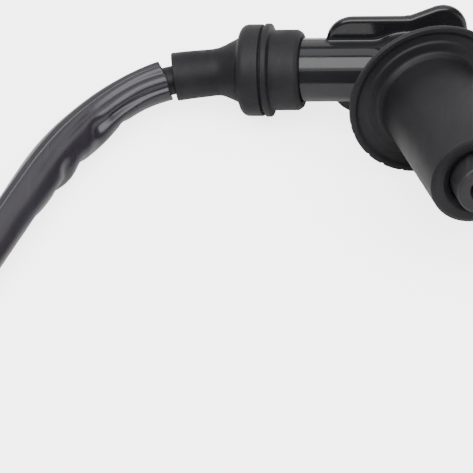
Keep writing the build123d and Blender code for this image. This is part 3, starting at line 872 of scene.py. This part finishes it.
def dust_group():
    """A mask of dust: a thin cloud with scattered specks."""
    tree, given, out = group("dust", {"Cloud": 40.0, "Specks": 1500.0, "Amount": 0.5}, ["Mask"])
    place = tree.nodes.new("ShaderNodeTexCoord").outputs["Object"]
    cloud = chained(tree, "ShaderNodeTexNoise", Vector=place, Scale=given["Cloud"], Detail=5.0,
                    Roughness=0.65)
    veil = chained(tree, "ShaderNodeMapRange", Value=cloud.outputs["Fac"], From_Min=0.42, From_Max=0.75)
    specks = chained(tree, "ShaderNodeTexVoronoi", Vector=place, Scale=given["Specks"])
    points_mask = chained(tree, "ShaderNodeMapRange", Value=specks.outputs["Distance"],
                          From_Min=0.16, From_Max=0.08)
    rare = chained(tree, "ShaderNodeMath", {"operation": "MULTIPLY"}, _0=points_mask.outputs[0],
                   _1=veil.outputs[0])
    total = chained(tree, "ShaderNodeMath", {"operation": "ADD"}, _0=veil.outputs[0], _1=rare.outputs[0])
    scaled = chained(tree, "ShaderNodeMath", {"operation": "MULTIPLY", "use_clamp": True},
                     _0=total.outputs[0], _1=given["Amount"])
    tree.links.new(scaled.outputs[0], out["Mask"])
    return tree


def smear_group():
    """A mask of finger smears and soft scuffs: stretched, warped noise."""
    tree, given, out = group("smears", {"Per metre": 60.0, "Warp": 0.02}, ["Mask"])
    place = tree.nodes.new("ShaderNodeTexCoord").outputs["Object"]
    bend = chained(tree, "ShaderNodeTexNoise", Vector=place, Scale=25.0, Detail=2.0)
    shift = chained(tree, "ShaderNodeVectorMath", {"operation": "SCALE"}, _0=bend.outputs["Color"],
                    Scale=given["Warp"])
    moved = chained(tree, "ShaderNodeVectorMath", {"operation": "ADD"}, _0=place, _1=shift.outputs[0])
    stretched = chained(tree, "ShaderNodeMapping", Vector=moved.outputs[0], Scale=(1.0, 0.35, 0.6),
                        Rotation=(0.3, 0.2, 0.7))
    marks = chained(tree, "ShaderNodeTexNoise", Vector=stretched.outputs[0], Scale=given["Per metre"],
                    Detail=6.0, Roughness=0.7)
    mask = chained(tree, "ShaderNodeMapRange", Value=marks.outputs["Fac"], From_Min=0.45, From_Max=0.72)
    tree.links.new(mask.outputs[0], out["Mask"])
    return tree


def scratch_group():
    """A mask of fine straight scratches in two directions."""
    tree, given, out = group("scratches", {"Per metre": 300.0, "Amount": 0.5}, ["Mask"])
    place = tree.nodes.new("ShaderNodeTexCoord").outputs["Object"]
    masks = []
    for turn_by, squeeze in ((0.5, 0.02), (-0.9, 0.03)):
        drawn = chained(tree, "ShaderNodeMapping", Vector=place, Rotation=(turn_by, 0.4, turn_by * 1.7),
                        Scale=(1.0, squeeze, 1.0))
        lines = chained(tree, "ShaderNodeTexNoise", Vector=drawn.outputs[0], Scale=given["Per metre"],
                        Detail=1.0)
        masks.append(chained(tree, "ShaderNodeMapRange", Value=lines.outputs["Fac"], From_Min=0.68,
                             From_Max=0.74))
    either = chained(tree, "ShaderNodeMath", {"operation": "MAXIMUM"}, _0=masks[0].outputs[0],
                     _1=masks[1].outputs[0])
    scaled = chained(tree, "ShaderNodeMath", {"operation": "MULTIPLY"}, _0=either.outputs[0],
                     _1=given["Amount"])
    tree.links.new(scaled.outputs[0], out["Mask"])
    return tree


GRAIN = grain_group()
DUST = dust_group()
SMEARS = smear_group()
SCRATCHES = scratch_group()
print("shared effects", [tree.name for tree in (GRAIN, DUST, SMEARS, SCRATCHES)])

# %% [markdown]
# One builder makes every finish from a maker's numbers: its colour and the colour of what settles on it,
# how rough it is clean and worn, and how deep and fine its grain is.

# %% Finish builder
def effect(tree, shared, **inputs):
    node = tree.nodes.new("ShaderNodeGroup")
    node.node_tree = shared
    for key, value in inputs.items():
        node.inputs[key.replace("_", " ")].default_value = value
    return node.outputs[0]


def finish(name, colour, worn_colour, rough, worn_rough, grain=2000.0, depth=0.02, broad=0.4, dust=0.3,
           smear=60.0, scratches=0.3, metal=0.0, **shader_values):
    """A material: base colour and roughness vary with dust, smears and scratches, over a grain bump."""
    material = bpy.data.materials.new(name)
    material.use_nodes = True
    tree = material.node_tree
    shader = tree.nodes["Principled BSDF"]
    shader.inputs["Metallic"].default_value = metal
    for key, value in shader_values.items():
        shader.inputs[key.replace("_", " ")].default_value = value
    dusty = effect(tree, DUST, Amount=dust)
    smeared = effect(tree, SMEARS, Per_metre=smear)
    scratched = effect(tree, SCRATCHES, Amount=scratches)
    worn = chained(tree, "ShaderNodeMath", {"operation": "MAXIMUM"}, _0=dusty, _1=scratched)
    tint = chained(tree, "ShaderNodeMix", {"data_type": "RGBA"}, Factor=worn.outputs[0])
    tint.inputs[6].default_value = (*colour, 1)
    tint.inputs[7].default_value = (*worn_colour, 1)
    tree.links.new(tint.outputs[2], shader.inputs["Base Color"])
    handled = chained(tree, "ShaderNodeMath", {"operation": "MAXIMUM"}, _0=smeared, _1=worn.outputs[0])
    gloss = chained(tree, "ShaderNodeMapRange", Value=handled.outputs[0], To_Min=rough, To_Max=worn_rough)
    tree.links.new(gloss.outputs[0], shader.inputs["Roughness"])
    height = effect(tree, GRAIN, Per_metre=grain, Broad=broad)
    lowered = chained(tree, "ShaderNodeMath", {"operation": "MULTIPLY_ADD"}, _0=scratched, _1=-0.5, _2=height)
    bump = chained(tree, "ShaderNodeBump", Strength=1.0, Distance=depth * MM, Height=lowered.outputs[0])
    tree.links.new(bump.outputs[0], shader.inputs["Normal"])
    return material


# %% [markdown]
# All the outer pieces are black. The phenolic is polished, the boot and the relief are grainy rubber,
# the seal is duller and dustier, and the vinyl has a soft shine and a trace of purple.

# %% Black plastics and rubbers
polished = finish("polished_phenolic", (0.0085, 0.0085, 0.0098), (0.05, 0.05, 0.055), 0.11, 0.27, grain=700.0,
                  depth=0.004, broad=0.7, dust=0.05, smear=45.0, scratches=0.12, IOR=1.42)
satin = finish("satin_phenolic", (0.014, 0.0138, 0.0155), (0.06, 0.06, 0.062), 0.42, 0.58, grain=2500.0,
               depth=0.012, dust=0.15, scratches=0.2, IOR=1.36)
moulded_rubber = finish("moulded_rubber", (0.0078, 0.0076, 0.009), (0.028, 0.027, 0.031), 0.46, 0.62,
                        grain=3200.0, depth=0.03, broad=0.3, dust=0.22, smear=50.0, scratches=0.1, IOR=1.32)
seal_rubber = finish("seal_rubber", (0.0062, 0.006, 0.0072), (0.042, 0.041, 0.045), 0.48, 0.66, grain=3600.0,
                     depth=0.045, broad=0.35, dust=0.3, smear=70.0, scratches=0.25, IOR=1.27)
lead_rubber = finish("lead_rubber", (0.007, 0.007, 0.008), (0.04, 0.04, 0.042), 0.42, 0.58, grain=2600.0,
                     depth=0.02, dust=0.15, scratches=0.1, IOR=1.28)
vinyl = finish("black_vinyl", (0.0145, 0.0125, 0.0175), (0.042, 0.038, 0.047), 0.27, 0.42, grain=900.0,
               depth=0.03, broad=0.75, dust=0.18, smear=55.0, scratches=0.2, IOR=1.45)
nylon = finish("glass_filled_nylon", (0.016, 0.016, 0.017), (0.07, 0.07, 0.072), 0.42, 0.58, grain=2200.0,
               depth=0.05, broad=0.25, dust=0.25, scratches=0.2)
resin = finish("cured_resin", (0.012, 0.011, 0.010), (0.06, 0.055, 0.05), 0.12, 0.3, grain=250.0, depth=0.12,
               broad=0.8, dust=0.12, scratches=0.05)

# %% [markdown]
# The core's plates are varnished steel with a little rust in places, and its rivets are zinc plated. Most
# contacts are brass. The socket behind the boot's mouth gets a dark brown brass as painted shade, the shade
# of the deep hole it sits in. Enamelled wire is copper under a clear layer, so its shader gets a coat on top
# of the metal.

# %% Metals, wire and ceramic
steel = finish("varnished_steel", (0.16, 0.155, 0.15), (0.10, 0.065, 0.045), 0.34, 0.6, grain=1800.0,
               depth=0.02, dust=0.5, smear=140.0, scratches=0.3, metal=0.85)
zinc = finish("zinc_plate", (0.60, 0.60, 0.585), (0.36, 0.36, 0.35), 0.28, 0.5, grain=2500.0, depth=0.012,
              dust=0.35, scratches=0.5, metal=1.0)
tinned = finish("tinned_brass", (0.70, 0.66, 0.56), (0.45, 0.38, 0.26), 0.2, 0.42, grain=1500.0, depth=0.008,
                dust=0.3, scratches=0.6, metal=1.0)
brass = finish("turned_brass", (0.74, 0.52, 0.22), (0.40, 0.26, 0.12), 0.22, 0.42, grain=3000.0, depth=0.008,
               dust=0.3, scratches=0.5, metal=1.0)
# The socket's brass, darkened as painted shade of the hole in the boot's mouth; its dust and scratches are
# real wear.
shaded_socket_brass = finish("dark_brass_painted_shade", (0.13, 0.095, 0.055), (0.045, 0.035, 0.025), 0.42, 0.65, grain=2200.0,
                  depth=0.02, dust=0.5, scratches=0.2, metal=1.0)
spring = finish("spring_steel", (0.50, 0.50, 0.49), (0.28, 0.27, 0.26), 0.2, 0.4, grain=3000.0, depth=0.005,
                dust=0.2, scratches=0.4, metal=1.0)
copper = finish("enamelled_copper", (0.42, 0.13, 0.035), (0.22, 0.07, 0.025), 0.22, 0.38, grain=4000.0,
                depth=0.03, dust=0.2, scratches=0.2, metal=0.7, Coat_Weight=0.6, Coat_Roughness=0.12)
strands = finish("tinned_strands", (0.60, 0.57, 0.52), (0.38, 0.35, 0.30), 0.3, 0.5, grain=3500.0, depth=0.05,
                 dust=0.2, scratches=0.4, metal=1.0)
natural = finish("natural_nylon", (0.62, 0.58, 0.47), (0.46, 0.41, 0.31), 0.42, 0.6, grain=1800.0, depth=0.02,
                 dust=0.2, scratches=0.1)
ceramic = finish("unglazed_ceramic", (0.70, 0.68, 0.62), (0.55, 0.52, 0.46), 0.6, 0.8, grain=2600.0,
                 depth=0.03, dust=0.3, scratches=0.1)

# %% [markdown]
# The tree needs the steel for its last node, so the plates are made now. Their number and the height of
# the stack are set as inputs before the tree is first worked out.

# %% Core plates
stack = lamination_tree(steel)
stack_height = (CORE_HIGH.z - CORE_LOW.z) * MM
core = made_by_nodes("core_plates", stack, {"Plates": PLATES, "Height": stack_height}, CORE_LOW.z * MM)
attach(core, "coil")
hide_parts("core_laminations")

# %% [markdown]
# Every finish goes on its piece, and the CAD's own small inner parts keep their shapes and get theirs.

# %% Give out the finishes
pieces_in = {
    polished: [cap], satin: [snout], moulded_rubber: [boot, relief], seal_rubber: [seal], vinyl: [sheath],
    lead_rubber: [lead], nylon: [coil_case], zinc: [eyelets],
}
nodes_in = {
    resin: ["potting_resin"], tinned: ["signal_terminal", "ground_terminal"], zinc: ["resistor_caps"],
    brass: ["ht_output_pin", "cable_screw", "corner_contact"], shaded_socket_brass: ["terminal_socket"],
    spring: ["contact_springs", "terminal_clip"], strands: ["ht_lead_core"],
    copper: ["primary_winding", "secondary_windings", "primary_wires", "secondary_wire"],
    natural: ["primary_bobbin", "secondary_bobbin"], ceramic: ["resistor_body"],
}
for material, names in nodes_in.items():
    pieces_in.setdefault(material, []).extend(frame["nodes"][name] for name in names)
for material, pieces in pieces_in.items():
    for piece in pieces:
        piece.data.materials.clear()
        piece.data.materials.append(material)
print(len(pieces_in), "finishes given out")

# %% [markdown]
# ## The studio
# A pale sheet lies just under the parts. Its glow is seen by the camera alone, so the sheet looks almost
# white and the glow adds no light to the black parts.

# %% Floor
SHEET_HALF = 3.0
SHEET_GAP = 0.00005
SHEET_GLOW = 3.2
sheet_mesh = bpy.data.meshes.new("floor")
floor_z = FLOOR * MM - SHEET_GAP
sheet_corners = [(x * SHEET_HALF, y * SHEET_HALF, floor_z) for x, y in ((-1, -1), (1, -1), (1, 1), (-1, 1))]
sheet_mesh.from_pydata(sheet_corners, [], [(0, 1, 2, 3)])
floor = bpy.data.objects.new("floor", sheet_mesh)
bpy.context.scene.collection.objects.link(floor)
paper = bpy.data.materials.new("paper")
paper.use_nodes = True
paper_shader = paper.node_tree.nodes["Principled BSDF"]
paper_shader.inputs["Base Color"].default_value = (0.78, 0.78, 0.78, 1)
paper_shader.inputs["Roughness"].default_value = 0.9
paper_shader.inputs["Emission Color"].default_value = (1, 1, 1, 1)
seen = paper.node_tree.nodes.new("ShaderNodeLightPath")
glow = paper.node_tree.nodes.new("ShaderNodeMath")
glow.operation = "MULTIPLY"
glow.inputs[1].default_value = SHEET_GLOW
paper.node_tree.links.new(seen.outputs["Is Camera Ray"], glow.inputs[0])
paper.node_tree.links.new(glow.outputs[0], paper_shader.inputs["Emission Strength"])
floor.data.materials.append(paper)
print("floor at", round(floor_z / MM, 2), "mm")

# %% [markdown]
# Glossy black shows its lights more than its own colour. A wide soft light above and two weaker ones
# behind draw the long bands on the polished arm, and a narrow faint one in front picks out edges.

# %% Lights
def softbox(name, elevation, azimuth, width, depth, power, away=0.7):
    """A soft rectangle at a direction from the cap, facing it."""
    data = bpy.data.lights.new(name, "AREA")
    data.shape = "RECTANGLE"
    data.size = width
    data.size_y = depth
    data.energy = power
    lamp = bpy.data.objects.new(name, data)
    bpy.context.scene.collection.objects.link(lamp)
    e, a = math.radians(elevation), math.radians(azimuth)
    direction = Vector((math.sin(a) * math.cos(e), -math.cos(a) * math.cos(e), math.sin(e)))
    lamp.location = corner + direction * away
    lamp.rotation_euler = direction.to_track_quat("Z", "Y").to_euler()


softbox("overhead", 71, -8, 1.5, 0.5, 15)
softbox("behind", 115, 0, 1.5, 0.36, 3.5)
softbox("low_behind", 160, 8, 1.6, 0.5, 3.6, away=0.8)
softbox("front_edge", 46, -8, 1.5, 0.13, 1.1)
world = bpy.data.worlds.new("room")
world.use_nodes = True
world.node_tree.nodes["Background"].inputs["Color"].default_value = (1, 1, 1, 1)
world.node_tree.nodes["Background"].inputs["Strength"].default_value = 0.2
bpy.context.scene.world = world
print(len(bpy.data.lights), "softboxes")
